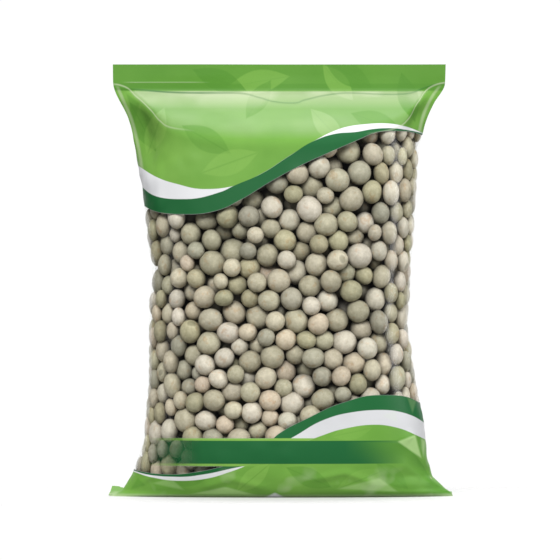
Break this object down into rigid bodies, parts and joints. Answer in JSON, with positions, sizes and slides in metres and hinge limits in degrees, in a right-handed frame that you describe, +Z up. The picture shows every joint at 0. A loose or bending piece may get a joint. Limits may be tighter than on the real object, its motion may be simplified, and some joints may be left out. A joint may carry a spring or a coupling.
{
  "type": "pillow bag of dried peas",
  "caption": "Heat-sealed pillow bag of clear film with green printed ends, filled with whole dried peas and standing on its base.",
  "frame": {"origin": "on the standing surface, under the middle of the bag", "axes": "+Z up from the base to the top seal, -Y out of the printed front, +X to the right as the front is seen"},
  "size_m": [0.138, 0.0594, 0.175],
  "materials": {
    "clear_film": "gloss",
    "dried_pea": "matte"
  },
  "bodies": {
    "root": {"film_bag": "clear_film", "peas": "dried_pea"}
  },
  "joints": []
}
